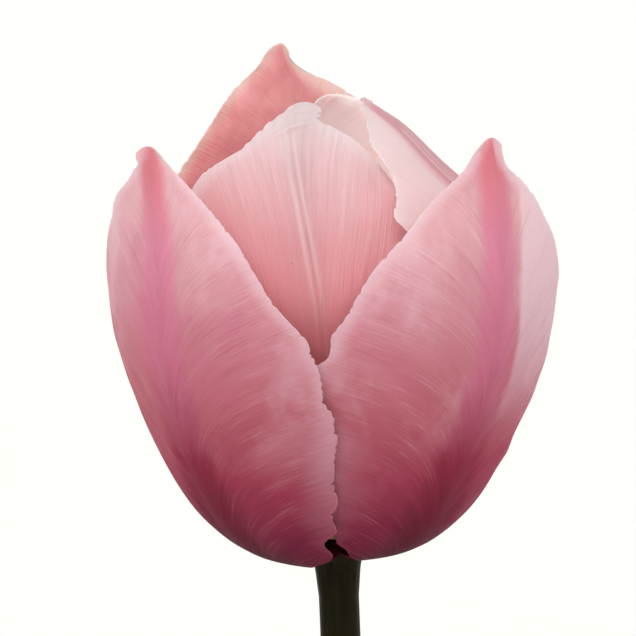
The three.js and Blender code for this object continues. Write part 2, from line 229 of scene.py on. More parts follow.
# Swings of a margin's drift in and out and of its ripple out of the surface
DRIFT_SWINGS = 24
RIPPLE_SWINGS = 26
# Where tears and ripples start up the tepal and where they are full
TORN_START = 0.12
TORN_FULL = 0.3
# A blade is at its full thickness this far in from its margin in mm, and this far up its foot
THICK_IN = 5
THICK_UP = 0.05
# Relief of a tepal in mm: its rib's height and width, its grooves' depth, distance and width
RIB = (0.22, 1.7)
GROOVES = (0.2, 3.4, 1.4)
# The double crease: half the distance between its lines, and their width in mm
CREASE_APART = 0.6
CREASE_WIDTH = 0.33
# The lip across the crease: its place up the tepal and its slope per mm across
LIP_PLACE = 0.898
LIP_SLOPE = 0.007

# Stem: centre line from its foot to the bloom, its radius, and the receptacle's height and radius
STEM_LINE = [[-15, 3, 5.85], [-3.6, 1.5, 73], [6, 0, 140], [6, -0.8, 200], [4.3, -0.9, 262], BLOOM]
STEM_RADII = [3.3, 3.25, 3.2, 3.15, 3.1, 3.1]
RECEPTACLE = [[-7, 3.2], [-3.2, 3.6], [-1, 4.3], [-0.2, 4.4], [0, 3.55], [6.4, 3.5], [7.2, 2.9]]
RECEPTACLE_ROWS = 30
STEM_ROWS = 260
STEM_SIDES = 40
# Low ribs along the stem: number, height as a share of the radius, and rise in mm per radian
STEM_RIBS = 7
STEM_RIB = 0.012
STEM_TWIST = 60

# Vase: outer profile from the edge of its base to its lip, its wall and its floor
VASE_OUTER = [[28, 0], [36, 16], [42, 48], [40, 80], [27, 112], [15.5, 136], [13.6, 152], [16.5, 168]]
VASE_WALL = 3.6
VASE_FLOOR = 5
VASE_ROWS = 120
VASE_SIDES = 144
# The vase's rounded lip: its steps and how high it stands for its width
LIP_STEPS = 13
LIP_RISE = 0.8
# The cove at the floor (inward, up), the broken edge of the foot and the smallest ring's radius
COVE = (2.5, 0.3)
FOOT_EDGE = 1.2
SMALL_RING = 0.4

# Pistil: height above the core, radius and depth of its three lobes
PISTIL = [
    [0.3, 1.9, 0], [2, 2.1, 0], [5, 3.1, 0.08], [13, 3.3, 0.1], [19, 2.7, 0.1],
    [21, 2.6, 0.2], [22.5, 4.2, 0.32], [24, 4.4, 0.35], [25, 2.6, 0.3],
]
PISTIL_ROWS = 90
PISTIL_SIDES = 90
STIGMA_FOOT = 20.5
# Ruffles round the stigma and their depth as a share of its radius
RUFFLES = 21
RUFFLE_DEPTH = 0.05
# Stamens: centre line as radius and height above the core, with its radius
STAMEN_COUNT = 6
STAMEN = [
    [3.3, 0.7, 1], [4.4, 3.5, 0.9], [5.3, 8, 0.75], [5.8, 11, 0.7], [5.9, 12, 1.1],
    [6.1, 14, 1.55], [6.4, 18, 1.6], [6.7, 22, 1.35], [6.8, 23.6, 0.6],
]
STAMEN_ROWS = 70
STAMEN_SIDES = 20
ANTHER_FOOT = 11.5
ANTHER_FLATNESS = 0.22
COLLAR = [[2.5, 0.3], [3.9, 0.3], [3.9, 1.5], [2.5, 1.5]]
COLLAR_SIDES = 60

# Noise of each finish: its scales sideways and upwards per metre, its detail and its roughness
TEPAL_CLOUD = (70, 55, 4, 0.6)
LEAF_CLOUD = (50, 30, 3, 0.55)
STEM_LINES = (1500, 40, 2, 0.5)
STEM_CLOUD = (90, 60, 3, 0.5)
GLAZE_CLOUD = (22, 14, 3, 0.55)
GLAZE_FLECKS = (900, 900, 1, 0.5)
GLAZE_RINGS = (0, 260, 2, 0.5)
WATER_RIPPLE = (120, 120, 2, 0.5)
PISTIL_GRAIN = (2500, 2500, 2, 0.6)
PISTIL_CLOUD = (300, 150, 2, 0.5)
STAMEN_GRAIN = (3500, 3500, 2, 0.6)
FLOOR_GRAIN = (3, 3, 2, 0.5)
SPECK_CELLS = 230.0
# Depth of each finish's fine relief in metres
VEIN_RELIEF = 0.0003
LEAF_RELIEF = 0.0004
STEM_RELIEF = 0.0002
GLAZE_RELIEF = 0.00025
WATER_RELIEF = 0.00008
PISTIL_RELIEF = 0.0002
STAMEN_RELIEF = 0.00025
# A tepal's length and how far its veins arch up from its midrib, both in mm, the share of its
# length that its foot's colour takes, and the strength of the painted glow that its lining
# emits in place of light passing through it
TEPAL_LENGTH = 88
OUTER_ARCH = 9.5
INNER_ARCH = 40.0
OUTER_CLAW = 0.06
INNER_CLAW = 0.24
OUTER_PAINTED_GLOW = 0.06
INNER_PAINTED_GLOW = 0.25

# Lights: where each comes from, its strength and its angular size in degrees
KEY_LIGHT = ((-0.25, -0.8, 1.0), 1.6, 50)
FILL_LIGHT = ((0.9, -0.6, 0.6), 0.45, 70)
SKY_TONE = (1.0, 0.99, 0.98)
SKY_STRENGTH = 0.66
FLOOR_SIDES = 96
FLOOR_STEPS = 24

# The photograph: its size, the pixel of the receptacle's centre, the scale there and the view
PHOTO_SIZE = 636
RECEPTACLE_PIXEL = (337, 548)
MM_PER_PIXEL = 0.15
CAMERA_ELEVATION = math.radians(12)
CAMERA_DISTANCE = 500
SENSOR = 36


def linear(code):
    """Scene-linear red, green and blue of an sRGB colour code of six hexadecimal digits."""
    channels = [int(code[i:i + 2], 16) / 255 for i in (0, 2, 4)]
    return tuple(c / 12.92 if c <= 0.04045 else ((c + 0.055) / 1.055) ** 2.4 for c in channels)


def colour(label, about, code):
    """A colour setting whose default is an sRGB colour code."""
    return bpy.props.FloatVectorProperty(
        name=label, description=about, default=linear(code), subtype="COLOR", size=3, min=0, max=1)


def length(label, about, value):
    """A length setting with its default in millimetres."""
    return bpy.props.FloatProperty(
        name=label, description=about, default=value * MM, min=0, unit="LENGTH", subtype="DISTANCE")


class TulipSizes(bpy.types.PropertyGroup):
    """Sizes that a user would change."""

    tepal_thickness: length("Tepal thickness", "Thickness of a tepal at its midrib", 0.62)
    margin_thickness: length("Margin thickness", "Thickness of a tepal at its margins", 0.22)
    serration: length("Serration", "How far the small teeth of a margin run in and out", 0.5)
    frill: length("Frill", "How far a margin ripples out of the surface", 0.22)
    leaf_thickness: length("Leaf thickness", "Thickness of a leaf at its midrib", 0.85)
    floor_radius: length("Floor radius", "Radius of the flat part of the floor", 5000)
    wall_height: length("Wall height", "Height that the floor sweeps up to behind the flower", 2500)


class TulipColours(bpy.types.PropertyGroup):
    """Colours that a user would change."""

    # Deep rose, deepened with painted shade where the bloom turns under
    outer_foot_and_shade: colour("Outer foot", "Foot of an outer tepal's outer face", "380f1c")
    outer_dark: colour("Outer dark", "Outer tepal, a quarter of the way up", "70203a")
    outer_low: colour("Outer low", "Outer tepal, two fifths of the way up", "973a4e")
    outer_mid: colour("Outer middle", "Outer tepal, half way up", "b3636f")
    outer_upper: colour("Outer upper", "Outer tepal, two thirds of the way up", "c6838f")
    outer_high: colour("Outer high", "Outer tepal, near its tip", "d9a7ae")
    # Deep rose, deepened with painted shade like the tepal's foot
    band_foot_and_shade: colour("Band foot", "Midrib band of an outer tepal, at its foot", "2a0c14")
    band_low: colour("Band low", "Midrib band, two fifths of the way up", "86293f")
    band_mid: colour("Band middle", "Midrib band, three fifths of the way up", "c26c86")
    band_upper: colour("Band upper", "Midrib band, three quarters of the way up", "d6839e")
    band_tip: colour("Band tip", "Midrib band, at the tip", "d4747f")
    margin_low: colour("Margin low", "Margin of an outer tepal, low down", "8a4252")
    margin_mid: colour("Margin middle", "Margin of an outer tepal, half way up", "c698a6")
    margin_high: colour("Margin high", "Margin of an outer tepal, near its tip", "e4c6cd")
    inner_low: colour("Inner low", "Inner tepal, lower third of its outer face", "e27a80")
    inner_mid: colour("Inner middle", "Inner tepal, half way up", "e48e95")
    inner_upper: colour("Inner upper", "Inner tepal, two thirds of the way up", "e3a6ac")
    inner_high: colour("Inner high", "Inner tepal, near its tip", "ebced0")
    inner_pale: colour("Inner pale", "Margin and pale flank of an inner tepal", "f2d6d8")
    # Painted shade on the right inner tepal's half that turns away past its fold
    mauve_painted_shade: colour("Inner mauve", "Mauve half of the right inner tepal, past its fold", "d0909a")
    # Also the painted highlight along the lip's bright edge
    crease: colour("Crease", "Pale double line down an inner tepal's middle", "f6dcdc")
    lining_foot: colour("Lining foot", "Foot of every tepal's inner face", "a8984e")
    coral_low: colour("Coral low", "Outer tepal's inner face, half way up", "d8868c")
    coral_high: colour("Coral high", "Outer tepal's inner face, near its tip", "f2b4b5")
    coral_margin: colour("Coral margin", "Outer tepal's inner face, at its margin", "ecd6cc")
    blush_low: colour("Blush low", "Inner tepal's inner face, half way up", "f4c0c2")
    blush_high: colour("Blush high", "Inner tepal's inner face, near its tip", "fde2e2")
    blush_margin: colour("Blush margin", "Inner tepal's inner face, at its margin", "fae8e4")
    attachment: colour("Attachment", "Where an inner tepal joins the receptacle", "8a7848")
    stem_low: colour("Stem low", "The stem between the leaves", "5d7340")
    # Painted shadow of the bloom on the top of the stem
    stem_painted_shade: colour("Stem high", "The shaded top of the stem", "1a1308")
    leaf_light: colour("Leaf light", "Bloomy green of the leaves", "7f9a70")
    leaf_dark: colour("Leaf dark", "Deeper green between the veins of the leaves", "4f7048")
    leaf_pale: colour("Leaf pale", "Midrib and margins of the leaves", "ced7ad")
    glaze: colour("Glaze", "The vase's glaze", "d6cfbf")
    clay: colour("Clay", "The bare foot of the vase", "b9a68c")
    water: colour("Water", "The water in the vase", "e4eeea")
    ovary: colour("Ovary", "The pistil's body", "a9b96a")
    stigma: colour("Stigma", "The pistil's three lobes", "e6dfae")
    filament: colour("Filament", "The stamens' stalks", "3c2334")
    anther: colour("Anther", "The stamens' heads", "241622")
    pollen: colour("Pollen", "Dust on the stamens' heads", "8a7440")
    floor: colour("Floor", "The floor and the wall behind the flower", "f4f3f0")


def along(knots, t):
    """A smooth curve through evenly spaced knots, read at t from 0 to 1.

    Between two knots it is the cubic whose slope at each knot is half the step between that
    knot's neighbours.
    """
    knots = np.asarray(knots, float)
    ends = np.concatenate([2 * knots[:1] - knots[1:2], knots, 2 * knots[-1:] - knots[-2:-1]])
    place = np.clip(t, 0, 1) * (len(knots) - 1)
    i = np.minimum(place.astype(int), len(knots) - 2)
    f = (place - i)[..., None] if knots.ndim > 1 else place - i
    a, b, c, d = (ends[i + k] for k in range(4))
    square = (2 * a - 5 * b + 4 * c - d) * f ** 2
    cube = (3 * b - 3 * c + d - a) * f ** 3
    return (2 * b + (c - a) * f + square + cube) / 2


def smooth(value, low, high):
    """0 below low, 1 above high, and the cubic 3t^2 - 2t^3 between them."""
    t = np.clip((value - low) / (high - low), 0, 1)
    return t * t * (3 - 2 * t)


def bell(value, width):
    """A bell curve of height 1 about 0 that falls to 1/e at the width."""
    return np.exp(-((value / width) ** 2))


def wander(t, count, rng):
    """A smooth random line over t from 0 to 1, within about 1 either way, with count swings."""
    return along(rng.uniform(-1, 1, count + 1), t)


def tears(v, rng):
    """How far a margin is torn in, from 0 to 1: lobes of random length between sharp nicks.

    From each nick the margin comes back out as exp(-distance), slowly above it and fast below.
    """
    sizes = rng.uniform(*LOBE_LENGTHS, LOBES)
    ends = np.cumsum(sizes) / sizes.sum()
    deep = rng.uniform(0.1, 1, LOBES + 1) ** 1.5
    i = np.minimum(np.searchsorted(ends, v), LOBES - 1)
    f = 1 - (ends[i] - v) * sizes.sum() / sizes[i]
    return np.maximum(deep[i] * np.exp(-f / TEAR_ABOVE), deep[i + 1] * np.exp((f - 1) / TEAR_BELOW))


def blade(shape, v, u, teeth):
    """A blade's outer face at v along its midrib and u across it, the distance across and half width.

    The midrib follows its profile. Across, the blade runs on an arc of the profile's radius
    times its roundness, about a centre that lies behind the midrib, and the whole is turned to
    the midrib's azimuth. A keel raises the midrib by a bell curve and a wave bends the margins
    by a sine. The tip's corners lag behind the midrib by the square of u. A leaf's foot draws in
    to clasp the stem. All lengths are in mm.
    """
    w = np.maximum(v - TIP_ROUNDING * smooth(v, TIP_START, 1) * u ** 2, 0)
    radius, height = np.moveaxis(along(shape["profile"], w), -1, 0)
    t = 1 - (1 - v) ** (1 / TIP_POWER)
    tight = 1 - shape.get("clasp", 0) * bell(v, CLASP_REACH) / radius
    radius = radius * tight
    half = np.where(u < 0, along(shape["left"], t), along(shape["right"], t)) * tight
    slow, fast = (np.sin(beat * v + half) for beat in RAGGED_BEATS)
    middle = np.minimum(1, 4 * v * (1 - v))
    across = u * (half + RAGGED * (slow + fast / 2) * middle) + np.sign(u) * u ** 8 * teeth
    level = [1, 1]
    left_round = along(shape.get("leftRound", level), v)
    right_round = along(shape.get("rightRound", level), v)
    arc = radius * np.where(u < 0, left_round, right_round)
    keel = along(shape.get("keel", [0, 0]), v) * bell(across, KEEL_WIDTH)
    beat = np.sin(WAVE_BEAT * v + np.where(u < 0, 0, WAVE_STEP))
    wave = shape.get("wave", 0) * u ** 4 * beat * smooth(v, WAVE_START, WAVE_FULL)
    out = radius - arc + arc * np.cos(across / arc) + keel + wave
    aside = arc * np.sin(across / arc) + along(shape.get("lean", [0, 0]), v)
    turn = np.radians(along(shape["turn"], v))
    x = out * np.sin(turn) + aside * np.cos(turn)
    y = -out * np.cos(turn) + aside * np.sin(turn)
    return np.stack([x, y, height], axis=-1), across, half


def normals(points):
    """Unit normals of a grid of points: the cross product of its steps across and along."""
    cross = np.cross(np.gradient(points, axis=1), np.gradient(points, axis=0))
    return cross / np.linalg.norm(cross, axis=-1, keepdims=True)


def quads(rows, columns, wrap):
    """The four corners of every face of a grid, whose last column meets its first if wrapped."""
    i, j = np.meshgrid(np.arange(rows - 1), np.arange(columns if wrap else columns - 1), indexing="ij")
    a = i * columns + j
    b = i * columns + (j + 1) % columns
    return np.stack([a, b, b + columns, a + columns], axis=-1).reshape(-1, 4)


def make_mesh(name, points, faces, **attributes):
    """A smooth-shaded mesh from points in millimetres, arrays of faces and numbers per point."""
    mesh = bpy.data.meshes.new(name)
    corners = np.concatenate([part.ravel() for part in faces])
    sizes = np.concatenate([np.full(len(part), part.shape[1]) for part in faces])
    mesh.vertices.add(len(points))
    mesh.vertices.foreach_set("co", (points * MM).astype(np.float32).ravel())
    mesh.loops.add(len(corners))
    mesh.loops.foreach_set("vertex_index", corners.astype(np.int32))
    mesh.polygons.add(len(sizes))
    mesh.polygons.foreach_set("loop_start", (np.cumsum(sizes) - sizes).astype(np.int32))
    mesh.polygons.foreach_set("use_smooth", np.ones(len(sizes), bool))
    mesh.update(calc_edges=True)
    for label, values in attributes.items():
        layer = mesh.attributes.new(label, "FLOAT", "POINT")
        layer.data.foreach_set("value", np.asarray(values, np.float32).ravel())
    return mesh


def make_piece(name, mesh, material):
    """Puts a mesh into the scene as the piece that stands for the node of the same name."""
    piece = bpy.data.objects.new(f"{name}_look", mesh)
    bpy.context.scene.collection.objects.link(piece)
    mesh.materials.append(material)
    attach(piece, "root")
    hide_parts(name)


def closed_rings(rings):
    """Points and faces of a closed tube of rings, each end closed by a fan from its middle."""
    rows, sides = rings.shape[:2]
    points = np.concatenate([rings.reshape(-1, 3), [rings[0].mean(0), rings[-1].mean(0)]])
    j = np.arange(sides)
    ahead = (j + 1) % sides
    last = (rows - 1) * sides
    foot = np.stack([np.full(sides, rows * sides), ahead, j], axis=1)
    head = np.stack([np.full(sides, rows * sides + 1), last + j, last + ahead], axis=1)
    return points, [quads(rows, sides, True), foot, head]


def tube(line, radii, sides):
    """Rings round a line of points, each squared to the line, with the radius of each ring.

    A ring's points are centre + r (cos a first + sin a second), where first and second are
    square to the line's direction. Radii may vary round the ring.
    """
    line = np.asarray(line, float)
    ahead = np.gradient(line, axis=0)
    ahead /= np.linalg.norm(ahead, axis=1, keepdims=True)
    first = np.array([1, 0, 0]) - ahead * ahead[:, :1]
    first /= np.linalg.norm(first, axis=1, keepdims=True)
    second = np.cross(ahead, first)
    angle = np.linspace(0, 2 * np.pi, sides, endpoint=False)
    spokes = np.cos(angle)[:, None] * first[:, None] + np.sin(angle)[:, None] * second[:, None]
    reach = np.broadcast_to(np.asarray(radii, float).reshape(len(line), -1), (len(line), sides))
    return line[:, None] + reach[..., None] * spokes


def lathe(profile, sides):
    """Rings about the Z axis from a profile of radius and height, run from bottom to top."""
    angle = np.linspace(0, 2 * np.pi, sides, endpoint=False)
    radius, height = np.asarray(profile, float).T
    flat = [radius[:, None] * np.cos(angle), radius[:, None] * np.sin(angle)]
    return np.stack([*flat, np.repeat(height[:, None], sides, axis=1)], axis=-1)


def closed_blade(outer, inner, margin_left, margin_right):
    """Points and faces of a closed blade from its two faces and a point past each margin.

    Each row is a ring: the outer face from left to right, the right margin, the inner face back
    and the left margin. A strip of faces closes each end.
    """
    rows, columns = outer.shape[:2]
    rings = np.concatenate([outer, margin_right[:, None], inner[:, ::-1], margin_left[:, None]], axis=1)
    sides = rings.shape[1]
    j = np.arange(columns - 1)
    back = 2 * columns - j
    strip = np.stack([j, j + 1, back - 1, back], axis=1)
    ends = np.array([[columns - 1, columns, columns + 1], [2 * columns, 2 * columns + 1, 0]])
    last = (rows - 1) * sides
    faces = [quads(rows, sides, True), strip + last, ends + last, strip[:, ::-1], ends[:, ::-1]]
    return rings.reshape(-1, 3), faces


def ringed(face, edge=None):
    """One number for each point of a closed blade's rings from a grid of them over its face."""
    left = face[:, :1] if edge is None else np.full((len(face), 1), edge)
    right = face[:, -1:] if edge is None else left
    return np.concatenate([face, right, face[:, ::-1], left], axis=1)


def tepal_relief(shape, v, across):
    """Height of a tepal's outer face above its plain form, in mm.

    A tepal has a low rounded rib between two shallow grooves, each a bell curve across, and
    swells slightly at random. One with a crease has two narrow ridges there instead, and below
    its tip a short lip across them with fine wrinkles above it.
    """
    fade = smooth(v, 0.1, 0.35) * (1 - smooth(v, 0.96, 1))
    if "crease" in shape:
        off = across - along(shape["crease"], v)
        crease = 0.15 * bell(np.abs(off) - CREASE_APART, CREASE_WIDTH) - 0.14 * bell(off, CREASE_WIDTH)
        above = v - LIP_PLACE - LIP_SLOPE * across
        lip = 0.8 * bell(above, 0.006) * bell(across + 1, 2.6) - 0.6 * smooth(above, 0, 0.008)
        wrinkles = 0.07 * np.sin(260 * above + 1.5 * np.sin(across)) * smooth(above, 0, 0.02)
        return crease * fade * (1 - smooth(above, -0.015, 0)) + lip + wrinkles
    rng = np.random.default_rng(shape["seed"] + 100)
    height, width = RIB
    depth, apart, wide = GROOVES
    rib = height * bell(across, width) - depth * bell(np.abs(across) - apart, wide)
    swell = 0.12 * wander(v, 7, rng) * np.cos(across / 5) * smooth(v, 0.2, 0.4)
    return (rib + swell) * fade


def tepal_mesh(name, shape, sizes, thickness, grid, foot):
    """The closed mesh of a tepal or leaf, with what its material reads at each point.

    along runs from 0 at the foot to 1 at the tip, across is the distance from the midrib in mm,
    edge the distance from the nearer margin in mm, inside is 1 on the inner face, and crease is
    how near a point lies to the crease's lines and to the lip's bright edge, a painted highlight.
    The inner face lies behind the outer one by the thickness, which thins to the rim at each
    margin and at the foot.
    """
    rng = np.random.default_rng(shape["seed"])
    rows, columns = grid
    v = np.linspace(0, 1, rows)
    s = np.linspace(-1, 1, columns)
    u = s - CROWDING * np.sin(2 * np.pi * s)
    v, u = np.meshgrid(v, u, indexing="ij")
    body = smooth(v, TORN_START, TORN_FULL) * np.minimum(1, 12 * (1 - v))
    teeth = np.where(u < 0, tears(v, rng), tears(v, rng))
    drift = np.where(u < 0, wander(v, DRIFT_SWINGS, rng), wander(v, DRIFT_SWINGS, rng))
    teeth = sizes.serration / MM * (0.3 * drift - teeth * shape.get("torn", 1)) * body
    for side, place, width, depth in shape.get("bites", []):
        teeth = teeth - depth * bell(v - place, width) * (np.sign(u) == side)
    outward = normals(blade(shape, v, u, 0)[0])
    points, across, half = blade(shape, v, u, teeth)
    ripple = np.where(u < 0, wander(v, RIPPLE_SWINGS, rng), wander(v, RIPPLE_SWINGS, rng))
    lift = sizes.frill / MM * ripple * u ** 6 * body
    if "height" not in shape:
        lift = lift + tepal_relief(shape, v, across)
    outer = points + lift[..., None] * outward
    edge = np.abs(half) * (1 - np.abs(u))
    rim = sizes.margin_thickness / MM
    depth = rim + (thickness / MM - rim) * smooth(edge, 0, THICK_IN)
    depth = depth * (0.4 + 0.6 * smooth(v, 0, THICK_UP))
    inner = outer - depth[..., None] * outward
    past = (outer + inner) / 2
    side = np.gradient(outer, axis=1)
    side /= np.linalg.norm(side, axis=-1, keepdims=True)
    margin_left = past[:, 0] - side[:, 0] * rim / 2
    margin_right = past[:, -1] + side[:, -1] * rim / 2
    points, faces = closed_blade(outer, inner, margin_left, margin_right)
    middle = np.full((rows, 1), 0.5)
    inside = np.concatenate([np.zeros_like(v), middle, np.ones_like(v), middle], axis=1)
    off = across - along(shape.get("crease", [0, 0]), v)
    line = bell(np.abs(off) - CREASE_APART, 0.36) * smooth(v, 0.5, 0.72) * (1 - smooth(v, 0.88, 0.9))
    if "crease" in shape:
        # The lip's bright edge joins the crease's lines as a painted highlight
        above = v - LIP_PLACE - 0.001 - LIP_SLOPE * across
        line = line + 2 * bell(above, 0.003) * bell(across + 1, 2)
    return make_mesh(name, points + foot, faces, along=ringed(v), across=ringed(across),
                     edge=ringed(edge, 0), inside=inside, crease=ringed(line))


class Wire:
    """A number that varies over a surface. Sums on it add Math nodes to its material."""

    def __init__(self, shade, socket):
        self.shade = shade
        self.socket = socket

    def __add__(self, other):
        return self.shade.math("ADD", self, other)

    def __sub__(self, other):
        return self.shade.math("SUBTRACT", self, other)

    def __mul__(self, other):
        return self.shade.math("MULTIPLY", self, other)

    def __truediv__(self, other):
        return self.shade.math("DIVIDE", self, other)

    def __rsub__(self, other):
        return self.shade.math("SUBTRACT", other, self)

    def __rtruediv__(self, other):
        return self.shade.math("DIVIDE", other, self)

    def __abs__(self):
        return self.shade.math("ABSOLUTE", self)

    __radd__ = __add__
    __rmul__ = __mul__


class Shade:
    """One procedural material and the nodes that it is made of."""

    def __init__(self, name):
        self.material = bpy.data.materials.new(name)
        self.material.use_nodes = True
        self.tree = self.material.node_tree
        self.tree.nodes.clear()
        point = self.wire("ShaderNodeTexCoord", {}, {}, "Object")
        split = self.node("ShaderNodeSeparateXYZ", {}, {0: point})
        self.x, self.y, self.z = (Wire(self, output) for output in split.outputs)

    def node(self, kind, settings, sockets):
        """Adds a node: its settings first, then a value or a link for each of its sockets.

        A colour ramp's stops are pairs of a place from 0 to 1 and a colour.
        """
        node = self.tree.nodes.new(kind)
        for name, value in settings.items():
            if name == "stops":
                marks = node.color_ramp.elements
                for place, _ in value[2:]:
                    marks.new(place)
                for mark, (place, tone) in zip(marks, value):
                    mark.position = place
                    mark.color = opaque(tone)
            else:
                setattr(node, name, value)
        for name, value in sockets.items():
            if isinstance(value, Wire):
                self.tree.links.new(value.socket, node.inputs[name])
            else:
                node.inputs[name].default_value = value
        return node

    def wire(self, kind, settings, sockets, output=0):
        """Adds a node and gives one of its outputs."""
        return Wire(self, self.node(kind, settings, sockets).outputs[output])

    def math(self, operation, *values):
        """One operation on numbers, each a wire or a plain value."""
        return self.wire("ShaderNodeMath", {"operation": operation}, dict(enumerate(values)))

    def number(self, label):
        """A number that the mesh carries at each point."""
        return self.wire("ShaderNodeAttribute", {"attribute_name": label}, {}, "Fac")

    def vector(self, x, y, z):
        """A point from its three coordinates."""
        return self.wire("ShaderNodeCombineXYZ", {}, {0: x, 1: y, 2: z})

    def noise(self, vector, detail, roughness):
        """Soft noise about 0.5, with one swing for each unit of the vector."""
        sockets = {"Vector": vector, "Scale": 1.0, "Detail": detail, "Roughness": roughness}
        return self.wire("ShaderNodeTexNoise", {}, sockets)

    def grain(self, sideways, upwards, detail, roughness, shift=0):
        """Noise on the object's own coordinates, with its scales sideways and upwards per metre."""
        point = self.vector(self.x * sideways + shift, self.y * sideways, self.z * upwards)
        return self.noise(point, detail, roughness)

    def rise(self, value, low, high):
        """0 at low, 1 at high, smoothly between them and level beyond."""
        sockets = {"Value": value, "From Min": low, "From Max": high, "To Min": 0.0, "To Max": 1.0}
        return self.wire("ShaderNodeMapRange", {"interpolation_type": "SMOOTHSTEP"}, sockets)

    def fall(self, value, low, high):
        """1 at low, 0 at high, smoothly between them and level beyond."""
        return 1 - self.rise(value, low, high)

    def mix(self, first, second, share):
        """Two colours, the second with the given share."""
        sockets = {0: share, 6: opaque(first), 7: opaque(second)}
        settings = {"data_type": "RGBA", "blend_type": "MIX", "clamp_result": False}
        return self.wire("ShaderNodeMix", settings, sockets, 2)

    def layers(self, tone, *coats):
        """A colour with others laid over it in turn, each coat a pair of a colour and its share."""
        for coat, share in coats:
            tone = self.mix(tone, coat, share)
        return tone

    def ramp(self, value, *stops):
        """A colour for each value, along a ramp of (place, colour) stops."""
        return self.wire("ShaderNodeValToRGB", {"stops": stops}, {0: value})

    def bump(self, height, distance):
        """The normal of a surface raised by a height of 0 to 1 times a distance in metres."""
        return self.wire("ShaderNodeBump", {}, {"Height": height, "Distance": distance, "Strength": 1.0})

    def surface(self, base, roughness, normal=None, **constants):
        """Ends the material: what varies is linked, and the constants are set on their sockets."""
        sockets = {"Base Color": opaque(base), "Roughness": roughness}
        if normal is not None:
            sockets["Normal"] = normal
        sockets.update({name.replace("_", " "): value for name, value in constants.items()})
        shader = self.wire("ShaderNodeBsdfPrincipled", {}, sockets)
        self.node("ShaderNodeOutputMaterial", {}, {"Surface": shader})
        return self.material


def opaque(tone):
    """A colour as its socket takes it: a link as it is, or three numbers and a full alpha."""
    return tone if isinstance(tone, Wire) else (*tone[:3], 1.0)


def darker(tone, share):
    """A colour's three numbers, each times the share."""
    return [share * part for part in tone]


class TepalShade(Shade):
    """A tepal's material, with what every part of it reads.

    v runs from its foot to its tip, across and edge are the distances from its midrib and from
    its nearer margin in mm, cloud is a soft noise about 0.5, level is v blurred by noise, and
    streak is above 0 on the pale veins and below 0 on the dark ones.
    """

    def __init__(self, name, arch, seed):
        super().__init__(name)
        self.v = self.number("along")
        self.across = self.number("across")
        self.edge = self.number("edge")
        self.cloud = self.grain(*TEPAL_CLOUD, seed)
        fine, broad = self.veins(arch)
        self.level = self.v + (self.cloud - 0.5) * 0.1 + (broad - 0.5) * 0.08
        self.streak = (fine - 0.5) * 2.4 + (broad - 0.5) * 0.7 + (self.cloud - 0.5) * 0.5

    def veins(self, arch):
        """Fine and broad streaks, from about 0.25 to 0.75, that leave the midrib and arch outward.

        A streak runs where the way up the tepal less arch * ln(1 + distance / 2 mm) is the same,
        so it leaves the midrib steeply and flattens towards the margin.
        """
        aside = self.math("LOGARITHM", 1 + abs(self.across) / 2.0, math.e)
        way = self.v * TEPAL_LENGTH - arch * aside
        fine = self.noise(self.vector(way * 3.0, self.across * 0.12, self.v * 2), 3, 0.6)
        broad = self.noise(self.vector(way * 0.35, self.across * 0.08, self.v * 3), 2, 0.5)
        return fine, broad

    def specks(self, base, tone):
        """A few dark specks, one in about every eighth cell of cells about 4 mm wide."""
        point = self.vector(self.x, self.y, self.z)
        cells = self.node("ShaderNodeTexVoronoi", {}, {"Vector": point, "Scale": SPECK_CELLS})
        spot = self.fall(Wire(self, cells.outputs["Distance"]), 0.02, 0.035)
        chance = self.wire("ShaderNodeSeparateColor", {}, {0: Wire(self, cells.outputs["Color"])})
        return self.mix(base, tone, spot * self.rise(chance, 0.86, 0.88) * 0.7)

    def finish(self, outside, lining_tones, tones, foot, claw, painted_glow):
        """Ends a tepal's finish: its lining, the dark foot, specks and the fine relief of its veins.

        A faint painted glow of its lining, an emission, stands in for the light that passes through
        a thin tepal from behind.
        """
        low, high, margin = lining_tones
        cloud = self.cloud
        lining = self.ramp(self.level, (0.08, tones.lining_foot), (0.22, low), (0.5, low), (0.88, high))
        wide = 2.4 + self.rise(0 - self.across, 0.0, 2.0) * 4
        pale = self.fall(self.edge / wide + (cloud - 0.5) * 2, 0.1, 1.2) * self.rise(self.v, 0.05, 0.4)
        lining = self.layers(
            lining,
            (low, self.fall(abs(self.across) + cloud * 4, 2.0, 7.0) * 0.4),
            (margin, pale * 0.7 + self.rise(cloud, 0.48, 0.6) * 0.35),
            (low, self.fall(cloud, 0.38, 0.48) * 0.35),
        )
        inside = self.rise(self.number("inside"), 0.4, 0.6)
        base = self.mix(outside, lining, inside)
        # On an outer tepal the foot's deep rose is deepened with painted shade
        base = self.mix(foot, base, self.rise(self.v - inside * 0.1, claw / 4, claw))
        base = self.specks(base, tones.outer_foot_and_shade)
        normal = self.bump(self.streak * 0.25 + 0.5, VEIN_RELIEF)
        # Painted glow: the upper lining emits its own colour in place of light passing through it
        light = self.mix((0.0, 0.0, 0.0), base, inside * self.rise(self.v, 0.5, 0.8))
        return self.surface(base, 0.6 - self.streak * 0.08, normal, Subsurface_Weight=0.5,
                            Subsurface_Radius=(1.0, 0.6, 0.6), Subsurface_Scale=0.0012,
                            Specular_IOR_Level=0.03, Emission_Color=light, Emission_Strength=painted_glow)


